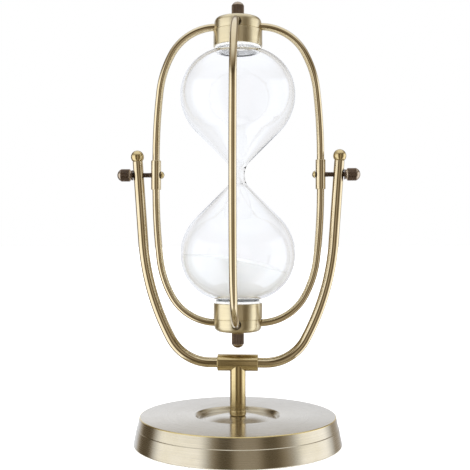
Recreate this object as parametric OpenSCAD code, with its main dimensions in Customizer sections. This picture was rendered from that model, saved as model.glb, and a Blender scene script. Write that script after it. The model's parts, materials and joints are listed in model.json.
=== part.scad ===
// Rotating hourglass: a cage of bent rods carries the glass and turns in a yoke on a round base.
// Millimetres, +Z up, origin at the centre of the base's underside, pivot axis along X.

/* [Base] */
// Diameter of the base at the floor
base_d = 141; // [110:1:180]
// Diameter of the base's flat top
base_top_d = 133; // [104:1:172]
// Height of the base's flat top above the floor
base_h = 19.1; // [17:0.1:26]
// Sheet thickness of the spun base shell
shell_wall = 1.2; // [0.8:0.1:2]
// Height of the small step around the base's side
crease_z = 11.4; // [6:0.1:14]
// Depth of that step
crease_depth = 0.4; // [0.2:0.1:1]
// Radius of the rounded edge between side and top
edge_r = 1; // [0.4:0.1:2]
// Diameter of the dished recess in the top
dish_d = 59; // [48:1:76]
// Depth of the recess
dish_depth = 2.9; // [1:0.1:4]
// Width of the recess's steep outer wall
dish_lip_w = 3.2; // [1.5:0.1:6]
// Diameter of the flat on the raised middle, where the stem stands
mound_flat_d = 15; // [13:0.5:22]
// How far that flat lies below the base's top
mound_drop = 0.6; // [0:0.1:1]
// Thickness of the felt pad underneath
pad_t = 2; // [1:0.1:3]
// How far the pad stands proud of the shell's hem
pad_proud = 0.4; // [0.2:0.1:1]
// Diameter of the iron weight
weight_d = 126; // [80:1:150]
// Thickness of the iron weight
weight_t = 8; // [7:0.5:10]

/* [Stem and yoke] */
// Diameter of the stem
stem_d = 10.8; // [8:0.1:14]
// Height of the collar at the stem's foot
ferrule_h = 3.9; // [2:0.1:8]
// Height of the yoke's horizontal run above the floor
sleeve_z = 54.4; // [40:0.1:80]
// Diameter of the sleeve across the stem
sleeve_d = 11.4; // [10:0.1:16]
// Length of the sleeve across the stem
sleeve_len = 27.6; // [18:0.1:34]
// Diameter of the yoke rod
yoke_rod_d = 7; // [6:0.1:9]
// Bend radius at the yoke's lower corners
yoke_corner_r = 30.8; // [20:0.1:40]
// How far those corners turn, in degrees
yoke_corner_turn = 62; // [50:1:70]
// Radius of the long bend above the corners
yoke_side_r = 165; // [100:1:180]
// Outward lean of the arms from vertical, in degrees
arm_lean = 4; // [2:0.5:7]
// Height of the arms above the pivot axis
arm_above_pivot = 9.5; // [7:0.1:20]
// Diameter of the ball finials
finial_d = 9; // [8:0.1:14]
// Height of the ball's centre above the arm's end
finial_seat = 3; // [2:0.1:4]

/* [Pivots] */
// Height of the pivot axis above the floor
pivot_z = 182; // [172:0.5:240]
// Distance from the middle to each arm, along the pivot axis
arm_half_span = 68; // [64:0.1:90]
// Diameter of the pivot screws' shank
screw_d = 3.3; // [2.5:0.1:3.6]
// Diameter of the pivot screws' head
screw_head_d = 5.3; // [4.5:0.1:7]
// Height of the pivot screws' head
screw_head_h = 2; // [1.2:0.1:3]
// Diameter of the tube over each side rod at the pivot
pivot_sleeve_d = 6.8; // [6.4:0.1:9]
// Length of that tube
pivot_sleeve_len = 20; // [12:0.1:28]
// Thickness of the washers under the pivot nuts
washer_t = 0.8; // [0.5:0.1:1.5]
// Diameter of those washers
washer_d = 7; // [6:0.1:9]

/* [Knurled nuts] */
// Diameter over the knurl
nut_d = 8.5; // [7:0.1:12]
// Length of the plain shoulder at the nut's foot
nut_shoulder_h = 0.8; // [0.4:0.1:2]
// Length of the pivot nuts' knurled part
nut_knurl_h = 6.2; // [4:0.1:9]
// Length of the cap nuts' knurled part
cap_nut_knurl_h = 7.4; // [4:0.1:9]
// Length of the rounded end beyond the knurl
nut_dome_h = 3; // [1.5:0.1:3.5]
// Ridges around the knurl
nut_ridges = 26; // [16:2:36]

/* [Cage] */
// Distance from the middle to the cage rods at the pivot axis
cage_half_span = 56; // [52:0.1:60]
// Height of the rod ends above and below the pivot axis
rod_entry_z = 100.5; // [84:0.5:105]
// Diameter of the cage rods
cage_rod_d = 5; // [4:0.1:5.6]
// Radius of the rods' long side bend
rod_side_r = 400; // [350:1:600]
// How far the side bend turns, in degrees
rod_side_turn = 6.6; // [5:0.1:8]
// How far the shoulder bend turns, in degrees
rod_shoulder_turn = 22; // [18:1:28]
// Depth of the rod ends in their hub
rod_grip = 5; // [3:0.1:6]

/* [Caps] */
// Outside diameter of the caps' skirt
cap_d = 33.4; // [31:0.1:38]
// Length of the skirt, from the rim to the groove
skirt_h = 10.7; // [8:0.1:14]
// Height of the crown beyond the groove
crown_h = 8.7; // [7.8:0.1:12]
// Radius of the crown's rounded shoulder
crown_r = 3.6; // [1.5:0.1:4]
// How much smaller the crown's radius is than the skirt's
crown_step = 0.6; // [0.2:0.1:1]
// Distance from the groove to the rods' axis
groove_to_rod = 2.8; // [2:0.1:3.5]
// Wall thickness of the caps
cap_wall = 1; // [0.8:0.1:1.4]
// Diameter of the caps' side holes around the rods
cap_hole_d = 6.6; // [6.2:0.1:7.6]
// Diameter of the hub inside each cap
hub_d = 26; // [22:0.1:28]
// Diameter of the threaded stud in each hub
stud_d = 3.3; // [2.5:0.1:4]

/* [Glass] */
// Largest diameter of the bulbs
bulb_d = 78; // [70:0.5:84]
// Outside diameter of the neck
neck_d = 9.2; // [7:0.1:14]
// Radius of the outward curve at the neck
neck_fillet = 12.8; // [8:0.1:16]
// Straight run between the neck's curve and the bulb's
flank_run = 28.7; // [20:0.1:32]
// Radius of the bulb's outer end
shoulder_r = 30.8; // [24:0.1:34]
// Outside diameter of the collars at the glass's ends
collar_d = 26; // [24:0.1:28]
// Thickness of the glass
glass_wall = 1.6; // [1:0.1:2.2]
// Diameter of the sand's way through the neck
throat_d = 2; // [1:0.1:3]
// How far the white cushions stand out of the caps
cushion_proud = 1.6; // [0.6:0.1:2]
// Length of the stoppers in the glass's ends
stopper_h = 6; // [4:0.1:7]
// Height of the sand at its high side, above the bulb's widest level
sand_rise = 0.5; // [-8:0.1:6]
// Slope of the sand at its low side, in degrees
sand_slope = 21; // [5:1:28]

/* [Fits] */
// Radial gap around pressed, brazed and threaded pieces
fit = 0.05; // [0.02:0.01:0.1]
// Radial gap around the running pivot screws and the nuts' threads
running_fit = 0.05; // [0.02:0.01:0.1]
// Gap beside pieces that turn
side_gap = 0.3; // [0.1:0.05:0.5]

/* [Hidden] */
$fn = 96;
over = 1; // how far a cutting shape reaches past what it cuts

// Colours
brass = "#b5a273";
bronze = "#6b5b4b";
steel = "#9a9a98";
white = "#f2f2ee";

// Base: heights and the recess's outline
mound_z = base_h - mound_drop;
valley_z = base_h - dish_depth;
valley_r = dish_d / 2 - dish_lip_w;
weight_top = pad_t + weight_t;
hem_w = 2.4;

// Bolt that holds the stem, the shell and the weight together
bolt_d = 6;
bolt_head_af = 10;
bolt_head_h = 3.6;
bolt_in_stem = 20;
bolt_washer_t = 1.4;
bolt_washer_d = 18;
bolt_seat_z = pad_t + 0.6 + bolt_head_h + bolt_washer_t;

// Stem: its spigot passes through the ferrule
spigot_d = stem_d - 2.4;
ferrule_d = stem_d + 0.5;
stem_z = mound_z + ferrule_h;

// Yoke: the straight lengths follow from the bends and the pivot's place
yoke_end_turn = 90 - arm_lean;
yoke_rise = pivot_z - sleeve_z;
arm_run = (yoke_rise - yoke_corner_r * (1 - cos(yoke_corner_turn))
    - yoke_side_r * (cos(yoke_corner_turn) - cos(yoke_end_turn))) / sin(yoke_end_turn);
yoke_foot = arm_half_span - yoke_corner_r * sin(yoke_corner_turn)
    - yoke_side_r * (sin(yoke_end_turn) - sin(yoke_corner_turn)) - arm_run * cos(yoke_end_turn);
arm_over_run = arm_above_pivot / sin(yoke_end_turn);
finial_spigot_d = 3.4;
finial_spigot_len = 3.6;

// Pivots, measured from the middle along X
head_x = cage_half_span - pivot_sleeve_d / 2 - side_gap;
arm_face_x = arm_half_span + yoke_rod_d / 2 / cos(arm_lean);
washer_x = arm_face_x + washer_d / 2 * tan(arm_lean) + 0.1;
nut_x = washer_x + washer_t + 0.1;
screw_end_x = nut_x + nut_shoulder_h + nut_knurl_h - 0.5;
shoulder_d = nut_d - 1.9;

// Caps, measured from the pivot axis
groove_z = rod_entry_z - groove_to_rod;
rim_z = groove_z - skirt_h;
crown_z = groove_z + crown_h;
groove_w = 0.5;
groove_depth = 0.5;
skirt_in_r = cap_d / 2 - cap_wall;
roof_z = crown_z - cap_wall;
cap_nut_z = crown_z + 0.1;

// Hubs and studs
hub_low_z = rod_entry_z - cage_rod_d / 2 - 2;
stud_end_z = cap_nut_z + nut_shoulder_h + cap_nut_knurl_h - 0.5;

// Cage rods: a straight stretch in the sleeve, side bend, shoulder bend, corner, straight end.
// The shoulder's and the corner's radii are the ones that reach the cap at rod_entry_z.
rod_straight = pivot_sleeve_len / 2 + 1;
rod_corner_x = cap_d / 2 - 2;
turn_a = rod_side_turn;
turn_b = rod_side_turn + rod_shoulder_turn;
rise_left = rod_entry_z - rod_straight - rod_side_r * sin(turn_a);
reach_left = cage_half_span - rod_corner_x - rod_side_r * (1 - cos(turn_a));
rise_share = sin(turn_b) - sin(turn_a);
reach_share = cos(turn_a) - cos(turn_b);
rod_det = rise_share * cos(turn_b) - (1 - sin(turn_b)) * reach_share;
rod_shoulder_r = (rise_left * cos(turn_b) - (1 - sin(turn_b)) * reach_left) / rod_det;
rod_corner_r = (rise_share * reach_left - reach_share * rise_left) / rod_det;
rod_end_x = hub_d / 2 - rod_grip;

// Cushions and glass, measured from the pivot axis
cushion_z = rim_z - cushion_proud;
cushion_floor = 0.8;
glass_end_z = hub_low_z - cushion_floor - 0.1;
bulb_r = bulb_d / 2;
collar_r = collar_d / 2;
collar_z = cushion_z - 0.4;
// Rounded to a hundredth, so that the curves above and below the widest level meet exactly
bulb_z = hundredth(collar_z - sqrt(pow(shoulder_r, 2) - pow(collar_r - bulb_r + shoulder_r, 2)));
neck_c = [neck_d / 2 + neck_fillet, 0];
neck_reach = bulb_r - neck_c[0];
flank_r = hundredth((pow(neck_reach, 2) + pow(bulb_z, 2) - pow(neck_fillet, 2) - pow(flank_run, 2))
    / (2 * (neck_reach + neck_fillet)));
flank_c = [bulb_r - flank_r, bulb_z];
shoulder_c = [bulb_r - shoulder_r, bulb_z];
centres = neck_c - flank_c;
flank_dir = atan2(centres[1], centres[0]) + acos((flank_r + neck_fillet) / norm(centres));
flank_n = [cos(flank_dir), sin(flank_dir)];
// The inner neck's curve is the one that keeps glass_wall along the straight flank
inner_fillet = (flank_n[0] * (throat_d / 2 - neck_c[0]) + neck_fillet + glass_wall) / (1 - flank_n[0]);
stopper_z = glass_end_z - stopper_h;
sand_gap = 0.15;
sand_reach = bulb_r - glass_wall;
sand_arc_r = 1.8 * sand_reach / sin(sand_slope);

function hundredth(x) = round(100 * x) / 100;

// Where a run that starts at [x, z, heading] ends. A run is [length, 0], or [bend radius, turn].
function run_end(p, run) = run[1] == 0
    ? [p[0] + run[0] * cos(p[2]), p[1] + run[0] * sin(p[2]), p[2]]
    : let (h = p[2] + run[1])
        [p[0] + run[0] * (sin(h) - sin(p[2])), p[1] - run[0] * (cos(h) - cos(p[2])), h];

// The place and heading at which run i of a rod starts
function run_start(start, runs, i) = i == 0
    ? start
    : run_end(run_start(start, runs, i - 1), runs[i - 1]);

// One run of a rod, drawn from the origin along +X and bending towards +Z, with a little more of it
// before its start and after its end
module rod_run(run, d, before, after) {
    if (run[1] == 0) {
        translate([-before, 0, 0])
            rotate([0, 90, 0])
                cylinder(d = d, h = before + run[0] + after);
    } else {
        turn_per_mm = 180 / PI / run[0];
        translate([0, 0, run[0]])
            rotate([90, 90, 0])
                rotate([0, 0, -before * turn_per_mm])
                    rotate_extrude(angle = run[1] + (before + after) * turn_per_mm)
                        translate([run[0], 0])
                            circle(d = d);
    }
}

// A round rod bent in the XZ plane. Every second run, from the first, is a hair thinner and
// reaches into its neighbours, so that the runs and the straight rod before them join up.
module bent_rod(start, runs, d) {
    hair = 0.02;
    bite = 0.3;
    last = len(runs) - 1;
    for (i = [0:last]) {
        p = run_start(start, runs, i);
        thin = i % 2 == 0;
        translate([p[0], 0, p[1]])
            rotate([0, -p[2], 0])
                rod_run(runs[i], thin ? d - hair : d, thin ? bite : 0, thin && i < last ? bite : 0);
    }
}

// A cylinder along +X from x = a to x = b at the pivot's height
module pivot_bar(d, a, b) {
    translate([a, 0, pivot_z])
        rotate([0, 90, 0])
            cylinder(d = d, h = b - a);
}

// Places a piece that is drawn upwards from the pivot axis
module at_top() {
    translate([0, 0, pivot_z])
        children();
}

// The same piece, mirrored below the pivot axis
module at_bottom() {
    translate([0, 0, pivot_z])
        mirror([0, 0, 1])
            children();
}

// The same piece on the -X side
module left() {
    mirror([1, 0, 0])
        children();
}

// A ring or a disc with a round hole
module ring(d, hole, h) {
    difference() {
        cylinder(d = d, h = h);
        translate([0, 0, -over])
            cylinder(d = hole, h = h + 2 * over);
    }
}

// Height of the base's top at radius r: flat, steep lip, valley, gentle mound
function dish_top(r) = r >= dish_d / 2 ? base_h
    : r >= valley_r
        ? valley_z + dish_depth * (1 - cos(180 * (r - valley_r) / dish_lip_w)) / 2
        : r <= mound_flat_d / 2 ? mound_z
            : mound_z - (mound_z - valley_z)
                * (1 - cos(180 * (r - mound_flat_d / 2) / (valley_r - mound_flat_d / 2))) / 2;

// Radii at which the recess's outline has a point, from the rim inwards
dish_radii = concat([for (i = [0:8]) dish_d / 2 - i * dish_lip_w / 8],
    [for (i = [1:12]) valley_r - i * (valley_r - mound_flat_d / 2) / 12]);

// Half section of the base shell, its hem turned in at the floor
module shell_section() {
    low_r = base_d / 2;
    top_r = base_top_d / 2;
    step_r = low_r - (low_r - top_r) * (crease_z - pad_proud) / (base_h - pad_proud);
    side = [[low_r, pad_proud], [step_r + crease_depth / 2, crease_z],
        [step_r - crease_depth / 2, crease_z + crease_depth]];
    edge = [for (a = [10:16:90]) [top_r - edge_r * (1 - cos(a)), base_h - edge_r * (1 - sin(a))]];
    top = [for (r = dish_radii) [r, dish_top(r)]];
    under = [for (i = [len(dish_radii) - 1:-1:0]) [dish_radii[i], dish_top(dish_radii[i]) - shell_wall]];
    hem_z = pad_proud + shell_wall;
    polygon(concat(side, edge, top, [[0, mound_z], [0, mound_z - shell_wall]], under,
        [[top_r - shell_wall - edge_r / 2, base_h - shell_wall],
        [low_r - 1.05 * shell_wall, hem_z], [low_r - hem_w, hem_z], [low_r - hem_w, pad_proud]]));
}

module base_shell() {
    color(brass)
        difference() {
            rotate_extrude()
                shell_section();
            translate([0, 0, mound_z - shell_wall - over])
                cylinder(d = bolt_d + 0.4, h = shell_wall + 2 * over);
        }
}

module base_weight() {
    color("#3b3b3d")
        difference() {
            union() {
                translate([0, 0, pad_t])
                    cylinder(d = weight_d, h = weight_t);
                cylinder(d = mound_flat_d, h = mound_z - shell_wall);
            }
            translate([0, 0, -over])
                cylinder(d = bolt_d + 0.4, h = base_h + over);
            translate([0, 0, -over])
                cylinder(d = bolt_washer_d + 1, h = bolt_seat_z + over);
        }
}

module base_pad() {
    color("#3f5a48")
        cylinder(d = base_d - 2 * hem_w - 0.8, h = pad_t);
}

module base_bolt() {
    color(steel) {
        translate([0, 0, bolt_seat_z - bolt_washer_t - bolt_head_h])
            cylinder(d = bolt_head_af / cos(30), h = bolt_head_h, $fn = 6);
        translate([0, 0, bolt_seat_z - bolt_washer_t])
            cylinder(d = bolt_d, h = mound_z + bolt_in_stem - bolt_seat_z + bolt_washer_t);
    }
}

module base_washer() {
    color(steel)
        translate([0, 0, bolt_seat_z - bolt_washer_t])
            ring(bolt_washer_d, bolt_d + 0.4, bolt_washer_t);
}

module stem_ferrule() {
    round_r = 1.2;
    color(brass)
        translate([0, 0, mound_z])
            rotate_extrude()
                difference() {
                    union() {
                        translate([0, round_r])
                            square([ferrule_d / 2, ferrule_h - round_r]);
                        square([ferrule_d / 2 - round_r, ferrule_h]);
                        translate([ferrule_d / 2 - round_r, round_r])
                            circle(round_r);
                    }
                    translate([-over, -over])
                        square([spigot_d / 2 + fit + over, ferrule_h + 2 * over]);
                }
}

module stem() {
    color(brass)
        difference() {
            union() {
                translate([0, 0, mound_z])
                    cylinder(d = spigot_d, h = ferrule_h + over);
                translate([0, 0, stem_z])
                    cylinder(d = stem_d, h = sleeve_z - stem_z);
            }
            translate([-base_d / 2, 0, sleeve_z])
                rotate([0, 90, 0])
                    cylinder(d = sleeve_d + 2 * fit, h = base_d);
            translate([0, 0, mound_z - over])
                cylinder(d = bolt_d + 2 * fit, h = bolt_in_stem + 2 * over);
        }
}

module yoke_sleeve() {
    chamfer = 0.5;
    color(brass)
        translate([-sleeve_len / 2, 0, sleeve_z])
            rotate([0, 90, 0])
                difference() {
                    union() {
                        cylinder(d1 = sleeve_d - 2 * chamfer, d2 = sleeve_d, h = chamfer);
                        translate([0, 0, chamfer])
                            cylinder(d = sleeve_d, h = sleeve_len - 2 * chamfer);
                        translate([0, 0, sleeve_len - chamfer])
                            cylinder(d1 = sleeve_d, d2 = sleeve_d - 2 * chamfer, h = chamfer);
                    }
                    translate([0, 0, -over])
                        cylinder(d = yoke_rod_d + 2 * fit, h = sleeve_len + 2 * over);
                }
}

// One side of the yoke, from the end of its foot to the arm's end
module yoke_side() {
    runs = [[yoke_corner_r, yoke_corner_turn], [yoke_side_r, yoke_end_turn - yoke_corner_turn],
        [arm_run + arm_over_run, 0]];
    difference() {
        bent_rod([yoke_foot, sleeve_z, 0], runs, yoke_rod_d);
        pivot_bar(screw_d + 2 * fit, arm_half_span - yoke_rod_d, arm_half_span + yoke_rod_d);
        at_arm_end()
            translate([0, 0, -finial_spigot_len - 0.4])
                cylinder(d = finial_spigot_d + 2 * fit, h = finial_spigot_len + 0.4 + over);
    }
}

// Frame at the right arm's end, +Z along the arm
module at_arm_end() {
    translate([arm_half_span, 0, pivot_z])
        rotate([0, arm_lean, 0])
            translate([0, 0, arm_over_run])
                children();
}

module yoke() {
    color(brass) {
        translate([-yoke_foot, 0, sleeve_z])
            rotate([0, 90, 0])
                cylinder(d = yoke_rod_d, h = 2 * yoke_foot);
        yoke_side();
        left()
            yoke_side();
    }
}

module finial_right() {
    color(brass)
        at_arm_end() {
            intersection() {
                translate([0, 0, finial_seat])
                    sphere(d = finial_d);
                translate([0, 0, 0])
                    cylinder(d = finial_d + over, h = finial_d + finial_seat);
            }
            translate([0, 0, -finial_spigot_len])
                cylinder(d = finial_spigot_d, h = finial_spigot_len + finial_seat);
        }
}

module finial_left() {
    left()
        finial_right();
}

module pivot_screw_right() {
    slot_w = 0.8;
    dome_r = (pow(screw_head_h, 2) + pow(screw_head_d / 2, 2)) / (2 * screw_head_h);
    color(bronze)
        difference() {
            union() {
                pivot_bar(screw_d, head_x, screw_end_x);
                intersection() {
                    pivot_bar(screw_head_d, head_x - screw_head_h, head_x);
                    translate([head_x - screw_head_h + dome_r, 0, pivot_z])
                        sphere(r = dome_r);
                }
            }
            translate([head_x - screw_head_h - over, -slot_w / 2, pivot_z - screw_head_d])
                cube([over + screw_head_h / 2, slot_w, 2 * screw_head_d]);
        }
}

module pivot_screw_left() {
    left()
        pivot_screw_right();
}

module pivot_washer_right() {
    color(bronze)
        translate([washer_x, 0, pivot_z])
            rotate([0, 90, 0])
                ring(washer_d, screw_d + 2 * running_fit, washer_t);
}

module pivot_washer_left() {
    left()
        pivot_washer_right();
}

// Knurled nut with a shoulder at its foot and a rounded end, along +Z
module knurled_nut(thread_d, knurl_h) {
    ridge_depth = 0.3;
    r = nut_d / 2;
    top_z = nut_shoulder_h + knurl_h;
    tip_r = (pow(nut_dome_h, 2) + pow(r, 2)) / (2 * nut_dome_h);
    difference() {
        union() {
            cylinder(d = shoulder_d, h = nut_shoulder_h + over);
            intersection() {
                translate([0, 0, nut_shoulder_h])
                    linear_extrude(knurl_h + nut_dome_h)
                        polygon([for (i = [0:2 * nut_ridges - 1])
                            let (p = r + 0.05 - (i % 2) * ridge_depth, a = 180 * i / nut_ridges)
                                [p * cos(a), p * sin(a)]]);
                union() {
                    translate([0, 0, nut_shoulder_h])
                        cylinder(r1 = r - 0.6, r2 = r, h = 0.6);
                    translate([0, 0, nut_shoulder_h + 0.6])
                        cylinder(r = r, h = knurl_h - 0.6);
                    intersection() {
                        translate([0, 0, top_z])
                            cylinder(r = r, h = nut_dome_h);
                        translate([0, 0, top_z + nut_dome_h - tip_r])
                            sphere(r = tip_r);
                    }
                }
            }
        }
        translate([0, 0, -over])
            cylinder(d = thread_d + 2 * running_fit, h = top_z + over);
    }
}

module pivot_nut_right() {
    color(bronze)
        translate([nut_x, 0, pivot_z])
            rotate([0, 90, 0])
                knurled_nut(screw_d, nut_knurl_h);
}

module pivot_nut_left() {
    left()
        pivot_nut_right();
}

// The bends of a cage rod above its straight middle, on the +X side of an axis through the pivot
module rod_bends() {
    runs = [[rod_side_r, rod_side_turn], [rod_shoulder_r, rod_shoulder_turn],
        [rod_corner_r, 90 - turn_b], [rod_corner_x - rod_end_x, 0]];
    bent_rod([cage_half_span, rod_straight, 90], runs, cage_rod_d);
}

module cage_rod() {
    color(brass) {
        translate([cage_half_span, 0, pivot_z - rod_straight])
            cylinder(d = cage_rod_d, h = 2 * rod_straight);
        at_top()
            rod_bends();
        at_bottom()
            rod_bends();
    }
}

module rod_right() {
    difference() {
        cage_rod();
        pivot_bar(screw_d + 2 * running_fit, cage_half_span - cage_rod_d, cage_half_span + cage_rod_d);
    }
}

module rod_left() {
    left()
        rod_right();
}

module rod_front() {
    rotate([0, 0, -90])
        cage_rod();
}

module pivot_sleeve_right() {
    color(brass)
        difference() {
            translate([cage_half_span, 0, pivot_z - pivot_sleeve_len / 2])
                ring(pivot_sleeve_d, cage_rod_d + 2 * fit, pivot_sleeve_len);
            pivot_bar(screw_d + 2 * running_fit, cage_half_span - pivot_sleeve_d,
                cage_half_span + pivot_sleeve_d);
        }
}

module pivot_sleeve_left() {
    left()
        pivot_sleeve_right();
}

// The three rods' directions around the glass, in degrees from +X
rod_angles = [0, 180, -90];

// Round holes or rod ends along each rod's axis, from radius a to radius b
module at_rods(d, a, b) {
    for (angle = rod_angles)
        rotate([0, 0, angle])
            translate([a, 0, rod_entry_z])
                rotate([0, 90, 0])
                    cylinder(d = d, h = b - a);
}

// Turned cup, open towards the glass: skirt, groove, crown with a rounded shoulder
module cap() {
    crown_out_r = cap_d / 2 - crown_step;
    color(brass)
        difference() {
            rotate_extrude()
                difference() {
                    union() {
                        translate([0, rim_z])
                            square([cap_d / 2, groove_z - groove_w / 2 - rim_z]);
                        translate([0, rim_z])
                            square([cap_d / 2 - groove_depth - 0.1, groove_z + groove_w - rim_z]);
                        translate([0, groove_z + groove_w / 2])
                            square([crown_out_r, crown_z - crown_r - groove_z - groove_w / 2]);
                        translate([0, groove_z + groove_w / 2])
                            square([crown_out_r - crown_r, crown_z - groove_z - groove_w / 2]);
                        translate([crown_out_r - crown_r, crown_z - crown_r])
                            circle(crown_r);
                    }
                    translate([-over, rim_z - over])
                        square([skirt_in_r + over, hub_low_z - rim_z + over]);
                    translate([-over, rim_z])
                        square([hub_d / 2 + fit + over, roof_z - rim_z]);
                }
            at_rods(cap_hole_d, hub_d / 2 - over, cap_d);
            translate([0, 0, roof_z - over])
                cylinder(d = stud_d + 0.2, h = cap_wall + 2 * over);
        }
}

// Block that grips the rods' ends and the stud
module hub() {
    color(steel)
        difference() {
            translate([0, 0, hub_low_z])
                cylinder(d = hub_d, h = roof_z - fit - hub_low_z);
            at_rods(cage_rod_d + 2 * fit, rod_end_x - 0.3, hub_d);
            translate([0, 0, hub_low_z - over])
                cylinder(d = stud_d + 2 * fit, h = roof_z);
        }
}

module stud() {
    color(bronze)
        translate([0, 0, hub_low_z + 0.5])
            cylinder(d = stud_d, h = stud_end_z - hub_low_z - 0.5);
}

// White cup between the glass's collar and the cap
module cushion() {
    lip_r = 0.8;
    out_r = skirt_in_r - 2 * fit;
    color(white)
        rotate_extrude()
            difference() {
                union() {
                    translate([0, cushion_z + lip_r])
                        square([out_r, hub_low_z - fit - cushion_z - lip_r]);
                    translate([0, cushion_z])
                        square([out_r - lip_r, hub_low_z - fit - cushion_z]);
                    translate([out_r - lip_r, cushion_z + lip_r])
                        circle(lip_r);
                }
                translate([-over, cushion_z - over])
                    square([collar_r + fit + over, glass_end_z + fit - cushion_z + over]);
            }
}

module stopper() {
    color(white)
        translate([0, 0, stopper_z])
            cylinder(r = collar_r - glass_wall - fit, h = stopper_h);
}

// Half section of the upper bulb, t inside the outer surface, from the pivot axis to end_z
module bulb_section(t, neck_r, fillet, end_z) {
    low = [neck_r + fillet, 0] - fillet * flank_n;
    high = flank_c + (flank_r - t) * flank_n;
    arc_low = floor(100 * high[1]) / 100;
    difference() {
        square([low[0], low[1]]);
        translate([neck_r + fillet, 0])
            circle(fillet);
    }
    polygon([[0, low[1]], low, high, [0, high[1]]]);
    intersection() {
        translate(flank_c)
            circle(flank_r - t);
        translate([0, arc_low])
            square([bulb_r, bulb_z - arc_low]);
    }
    if (flank_c[0] > 0)
        translate([0, arc_low])
            square([flank_c[0], bulb_z - arc_low]);
    intersection() {
        translate(shoulder_c)
            circle(shoulder_r - t);
        translate([0, bulb_z])
            square([bulb_r, end_z - bulb_z]);
    }
    translate([0, bulb_z])
        square([collar_r - t, end_z - bulb_z]);
}

// The whole glass as a solid, without its hollow
module glass_body() {
    rotate_extrude()
        bulb_section(0, neck_d / 2, neck_fillet, glass_end_z);
}

// The hollow of one bulb, open at the collar's end
module glass_hollow() {
    rotate_extrude()
        bulb_section(glass_wall, throat_d / 2, inner_fillet, glass_end_z + over);
}

module glass() {
    color("#dfeaec", 0.35)
        difference() {
            union() {
                at_top()
                    glass_body();
                at_bottom()
                    glass_body();
            }
            at_top()
                glass_hollow();
            at_bottom()
                glass_hollow();
        }
}

module sand() {
    high_z = pivot_z - bulb_z + sand_rise;
    color(white)
        intersection() {
            at_bottom()
                rotate_extrude()
                    bulb_section(glass_wall + sand_gap, throat_d / 2, inner_fillet, stopper_z - sand_gap);
            translate([-0.9 * sand_reach, base_d, high_z - sand_arc_r])
                rotate([90, 0, 0])
                    cylinder(r = sand_arc_r, h = 2 * base_d, $fn = 256);
        }
}

module cap_top() {
    at_top()
        cap();
}

module cap_bottom() {
    at_bottom()
        cap();
}

module hub_top() {
    at_top()
        hub();
}

module hub_bottom() {
    at_bottom()
        hub();
}

module stud_top() {
    at_top()
        stud();
}

module stud_bottom() {
    at_bottom()
        stud();
}

module cap_nut() {
    color(bronze)
        translate([0, 0, cap_nut_z])
            knurled_nut(stud_d, cap_nut_knurl_h);
}

module cap_nut_top() {
    at_top()
        cap_nut();
}

module cap_nut_bottom() {
    at_bottom()
        cap_nut();
}

module cushion_top() {
    at_top()
        cushion();
}

module cushion_bottom() {
    at_bottom()
        cushion();
}

module stopper_top() {
    at_top()
        stopper();
}

module stopper_bottom() {
    at_bottom()
        stopper();
}

base_shell();
base_weight();
base_pad();
base_bolt();
base_washer();
stem_ferrule();
stem();
yoke_sleeve();
yoke();
finial_left();
finial_right();
pivot_screw_left();
pivot_screw_right();
pivot_washer_left();
pivot_washer_right();
pivot_nut_left();
pivot_nut_right();
rod_left();
rod_right();
rod_front();
pivot_sleeve_left();
pivot_sleeve_right();
cap_top();
cap_bottom();
hub_top();
hub_bottom();
stud_top();
stud_bottom();
cap_nut_top();
cap_nut_bottom();
cushion_top();
cushion_bottom();
glass();
stopper_top();
stopper_bottom();
sand();
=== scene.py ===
"""Looks of a rotating hourglass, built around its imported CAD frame.

The stand is brushed antique brass: a spun base, a stem, and a round yoke. A cage of three bent rods
carries the glass between two turned caps, and turns on two screws with dark knurled nuts.
Sizes are in millimetres in the frame's own axes, and MM turns them into Blender's metres.
"""

import json
import math

import bmesh
import bpy
from mathutils import Matrix, Vector, noise


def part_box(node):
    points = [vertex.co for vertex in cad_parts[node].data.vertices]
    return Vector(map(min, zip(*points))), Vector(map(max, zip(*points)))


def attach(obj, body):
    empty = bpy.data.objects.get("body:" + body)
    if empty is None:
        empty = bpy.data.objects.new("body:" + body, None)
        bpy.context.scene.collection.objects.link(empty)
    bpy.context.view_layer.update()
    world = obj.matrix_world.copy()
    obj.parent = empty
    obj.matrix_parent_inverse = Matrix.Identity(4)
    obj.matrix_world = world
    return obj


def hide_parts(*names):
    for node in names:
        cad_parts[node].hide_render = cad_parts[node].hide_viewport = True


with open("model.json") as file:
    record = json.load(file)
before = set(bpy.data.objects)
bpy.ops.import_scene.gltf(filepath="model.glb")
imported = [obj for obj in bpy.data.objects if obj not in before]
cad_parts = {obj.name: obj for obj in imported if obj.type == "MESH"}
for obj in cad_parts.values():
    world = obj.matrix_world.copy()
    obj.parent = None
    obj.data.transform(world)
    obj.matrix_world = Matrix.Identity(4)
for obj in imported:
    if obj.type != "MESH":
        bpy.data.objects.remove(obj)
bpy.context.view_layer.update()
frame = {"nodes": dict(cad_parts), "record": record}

MM = 0.001
BODY_OF = {n: body for body, nodes in frame["record"]["behaviour"]["bodies"].items() for n in nodes}


# ---------------------------------------------------------------- places read from the frame

def span(node, axis):
    """Lowest and highest coordinate of a CAD node along an axis, in millimetres."""
    low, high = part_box(node)
    return low[axis] / MM, high[axis] / MM


def middle(node, axis):
    return sum(span(node, axis)) / 2


X, Z = 0, 2
PIVOT_Z = middle("pivot_screw_right", Z)
SLEEVE_Z = middle("yoke_sleeve", Z)
CAGE_HALF_SPAN = middle("pivot_sleeve_right", X)
BASE_R = span("base_shell", X)[1]
BASE_H = span("base_shell", Z)[1]
HEM_Z = span("base_shell", Z)[0]
FERRULE_LOW, FERRULE_TOP = span("stem_ferrule", Z)

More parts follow.
